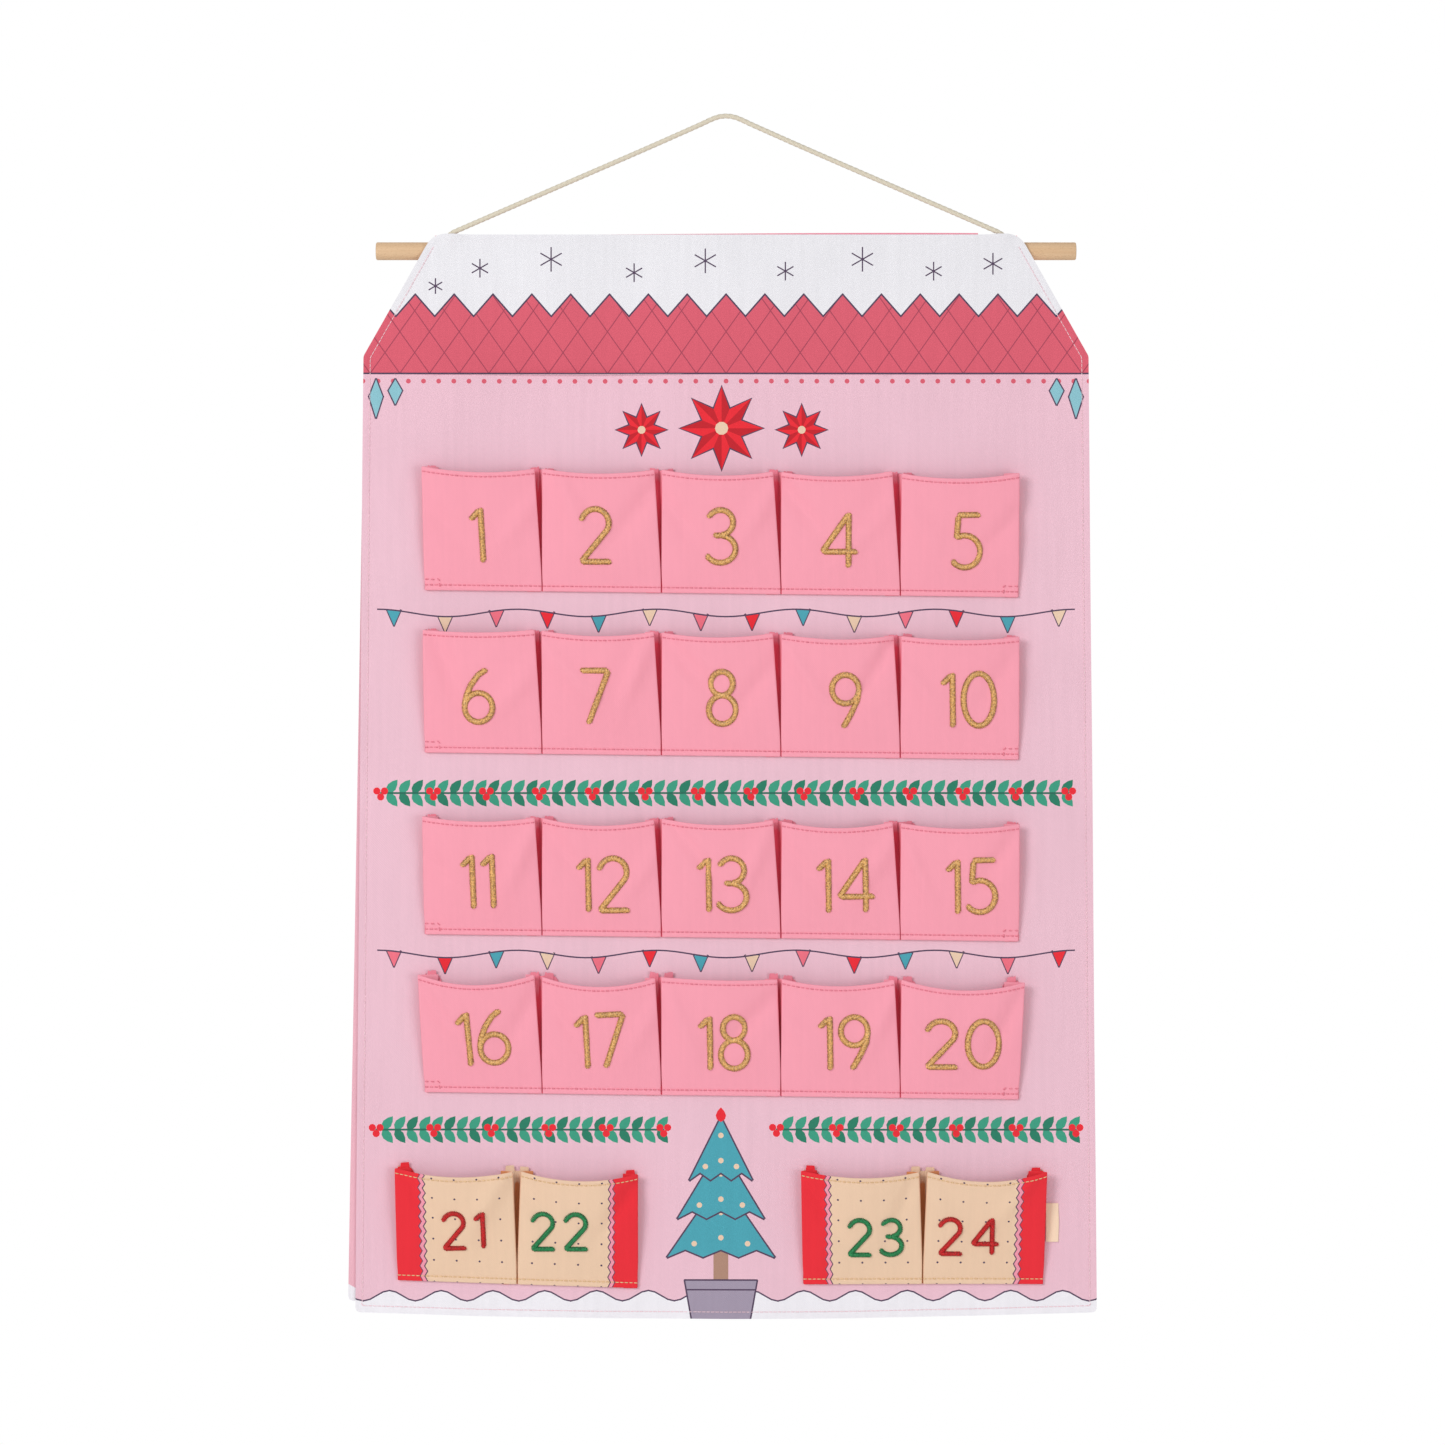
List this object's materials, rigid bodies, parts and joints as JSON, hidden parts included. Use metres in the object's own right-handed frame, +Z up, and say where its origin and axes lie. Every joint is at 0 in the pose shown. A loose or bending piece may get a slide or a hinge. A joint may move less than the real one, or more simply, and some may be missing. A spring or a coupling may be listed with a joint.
{
  "type": "advent calendar",
  "caption": "House-shaped cloth advent calendar that hangs by a cord, with a wooden rod in its top edge and rows of pleated pockets that open at the mouth.",
  "frame": {"origin": "underside of the cord's bend, where a nail or hook holds the calendar", "axes": "+Z up along the hanging panel, +X to the right of someone facing it, +Y into the wall"},
  "size_m": [0.5049, 0.0276, 0.813],
  "materials": {
    "printed_canvas": "matt printed cotton canvas",
    "pocket_cotton": "matt plain-woven cotton",
    "window_cotton": "matt printed cotton",
    "lining_cotton": "matt plain-woven cotton",
    "cotton_cord": "twisted natural cotton",
    "label_tape": "woven cotton tape, blank",
    "dowel_wood": "sanded, unvarnished"
  },
  "bodies": {
    "hanger": {"hanging_cord": "cotton_cord"},
    "panel": {"front_panel": "printed_canvas", "back_lining": "lining_cotton", "rod_casing": "pocket_cotton", "row_1_hem": "pocket_cotton", "row_2_hem": "pocket_cotton", "row_3_hem": "pocket_cotton", "row_4_hem": "pocket_cotton", "left_window_hem": "window_cotton", "right_window_hem": "window_cotton"},
    "rod": {"rod": "dowel_wood"},
    "label": {"side_label": "label_tape"},
    "pocket_01": {"pocket_01": "pocket_cotton"},
    "pocket_02": {"pocket_02": "pocket_cotton"},
    "pocket_03": {"pocket_03": "pocket_cotton"},
    "pocket_04": {"pocket_04": "pocket_cotton"},
    "pocket_05": {"pocket_05": "pocket_cotton"},
    "pocket_06": {"pocket_06": "pocket_cotton"},
    "pocket_07": {"pocket_07": "pocket_cotton"},
    "pocket_08": {"pocket_08": "pocket_cotton"},
    "pocket_09": {"pocket_09": "pocket_cotton"},
    "pocket_10": {"pocket_10": "pocket_cotton"},
    "pocket_11": {"pocket_11": "pocket_cotton"},
    "pocket_12": {"pocket_12": "pocket_cotton"},
    "pocket_13": {"pocket_13": "pocket_cotton"},
    "pocket_14": {"pocket_14": "pocket_cotton"},
    "pocket_15": {"pocket_15": "pocket_cotton"},
    "pocket_16": {"pocket_16": "pocket_cotton"},
    "pocket_17": {"pocket_17": "pocket_cotton"},
    "pocket_18": {"pocket_18": "pocket_cotton"},
    "pocket_19": {"pocket_19": "pocket_cotton"},
    "pocket_20": {"pocket_20": "pocket_cotton"},
    "pocket_21": {"pocket_21": "window_cotton"},
    "pocket_22": {"pocket_22": "window_cotton"},
    "pocket_23": {"pocket_23": "window_cotton"},
    "pocket_24": {"pocket_24": "window_cotton"}
  },
  "joints": [
    {"name": "panel_swing", "type": "hinge", "parent": "hanger", "child": "panel", "pos_m": [0, 0, -0.0763], "axis": [1, 0, 0], "range_deg": [-90, 90]},
    {"name": "rod_slide", "type": "slide", "parent": "panel", "child": "rod", "axis": [1, 0, 0], "range_m": [-0.42, 0.42]},
    {"name": "pocket_01_open", "type": "hinge", "parent": "panel", "child": "pocket_01", "pos_m": [-0.16425, -0.0014, -0.31428], "axis": [1, 0, 0], "range_deg": [-2, 12], "stiffness_Nm_per_rad": 0.03},
    {"name": "pocket_02_open", "type": "hinge", "parent": "panel", "child": "pocket_02", "pos_m": [-0.08375, -0.0014, -0.31524], "axis": [1, 0, 0], "range_deg": [-2, 12], "stiffness_Nm_per_rad": 0.03},
    {"name": "pocket_03_open", "type": "hinge", "parent": "panel", "child": "pocket_03", "pos_m": [-0.00325, -0.0014, -0.3162], "axis": [1, 0, 0], "range_deg": [-2, 12], "stiffness_Nm_per_rad": 0.03},
    {"name": "pocket_04_open", "type": "hinge", "parent": "panel", "child": "pocket_04", "pos_m": [0.07725, -0.0014, -0.31716], "axis": [1, 0, 0], "range_deg": [-2, 12], "stiffness_Nm_per_rad": 0.03},
    {"name": "pocket_05_open", "type": "hinge", "parent": "panel", "child": "pocket_05", "pos_m": [0.15775, -0.0014, -0.31812], "axis": [1, 0, 0], "range_deg": [-2, 12], "stiffness_Nm_per_rad": 0.03},
    {"name": "pocket_06_open", "type": "hinge", "parent": "panel", "child": "pocket_06", "pos_m": [-0.16425, -0.0014, -0.42378], "axis": [1, 0, 0], "range_deg": [-2, 12], "stiffness_Nm_per_rad": 0.03},
    {"name": "pocket_07_open", "type": "hinge", "parent": "panel", "child": "pocket_07", "pos_m": [-0.08375, -0.0014, -0.42474], "axis": [1, 0, 0], "range_deg": [-2, 12], "stiffness_Nm_per_rad": 0.03},
    {"name": "pocket_08_open", "type": "hinge", "parent": "panel", "child": "pocket_08", "pos_m": [-0.00325, -0.0014, -0.4257], "axis": [1, 0, 0], "range_deg": [-2, 12], "stiffness_Nm_per_rad": 0.03},
    {"name": "pocket_09_open", "type": "hinge", "parent": "panel", "child": "pocket_09", "pos_m": [0.07725, -0.0014, -0.42666], "axis": [1, 0, 0], "range_deg": [-2, 12], "stiffness_Nm_per_rad": 0.03},
    {"name": "pocket_10_open", "type": "hinge", "parent": "panel", "child": "pocket_10", "pos_m": [0.15775, -0.0014, -0.42762], "axis": [1, 0, 0], "range_deg": [-2, 12], "stiffness_Nm_per_rad": 0.03},
    {"name": "pocket_11_open", "type": "hinge", "parent": "panel", "child": "pocket_11", "pos_m": [-0.16425, -0.0014, -0.54628], "axis": [1, 0, 0], "range_deg": [-2, 12], "stiffness_Nm_per_rad": 0.03},
    {"name": "pocket_12_open", "type": "hinge", "parent": "panel", "child": "pocket_12", "pos_m": [-0.08375, -0.0014, -0.54724], "axis": [1, 0, 0], "range_deg": [-2, 12], "stiffness_Nm_per_rad": 0.03},
    {"name": "pocket_13_open", "type": "hinge", "parent": "panel", "child": "pocket_13", "pos_m": [-0.00325, -0.0014, -0.5482], "axis": [1, 0, 0], "range_deg": [-2, 12], "stiffness_Nm_per_rad": 0.03},
    {"name": "pocket_14_open", "type": "hinge", "parent": "panel", "child": "pocket_14", "pos_m": [0.07725, -0.0014, -0.54916], "axis": [1, 0, 0], "range_deg": [-2, 12], "stiffness_Nm_per_rad": 0.03},
    {"name": "pocket_15_open", "type": "hinge", "parent": "panel", "child": "pocket_15", "pos_m": [0.15775, -0.0014, -0.55012], "axis": [1, 0, 0], "range_deg": [-2, 12], "stiffness_Nm_per_rad": 0.03},
    {"name": "pocket_16_open", "type": "hinge", "parent": "panel", "child": "pocket_16", "pos_m": [-0.16425, -0.0014, -0.65278], "axis": [1, 0, 0], "range_deg": [-2, 12], "stiffness_Nm_per_rad": 0.03},
    {"name": "pocket_17_open", "type": "hinge", "parent": "panel", "child": "pocket_17", "pos_m": [-0.08375, -0.0014, -0.65374], "axis": [1, 0, 0], "range_deg": [-2, 12], "stiffness_Nm_per_rad": 0.03},
    {"name": "pocket_18_open", "type": "hinge", "parent": "panel", "child": "pocket_18", "pos_m": [-0.00325, -0.0014, -0.6547], "axis": [1, 0, 0], "range_deg": [-2, 12], "stiffness_Nm_per_rad": 0.03},
    {"name": "pocket_19_open", "type": "hinge", "parent": "panel", "child": "pocket_19", "pos_m": [0.07725, -0.0014, -0.65566], "axis": [1, 0, 0], "range_deg": [-2, 12], "stiffness_Nm_per_rad": 0.03},
    {"name": "pocket_20_open", "type": "hinge", "parent": "panel", "child": "pocket_20", "pos_m": [0.15775, -0.0014, -0.65662], "axis": [1, 0, 0], "range_deg": [-2, 12], "stiffness_Nm_per_rad": 0.03},
    {"name": "pocket_21_open", "type": "hinge", "parent": "panel", "child": "pocket_21", "pos_m": [-0.1818, -0.0014, -0.78033], "axis": [1, 0, 0], "range_deg": [-2, 12], "stiffness_Nm_per_rad": 0.03},
    {"name": "pocket_22_open", "type": "hinge", "parent": "panel", "child": "pocket_22", "pos_m": [-0.0998, -0.0014, -0.78307], "axis": [1, 0, 0], "range_deg": [-2, 12], "stiffness_Nm_per_rad": 0.03},
    {"name": "pocket_23_open", "type": "hinge", "parent": "panel", "child": "pocket_23", "pos_m": [0.0916, -0.0014, -0.7817], "axis": [1, 0, 0], "range_deg": [-2, 12], "stiffness_Nm_per_rad": 0.03},
    {"name": "pocket_24_open", "type": "hinge", "parent": "panel", "child": "pocket_24", "pos_m": [0.1736, -0.0014, -0.7817], "axis": [1, 0, 0], "range_deg": [-2, 12], "stiffness_Nm_per_rad": 0.03},
    {"name": "label_flip", "type": "hinge", "parent": "panel", "child": "label", "pos_m": [0.21585, -0.00115, -0.74452], "axis": [0, 0, -1], "range_deg": [0, 90], "stiffness_Nm_per_rad": 0.00005}
  ]
}
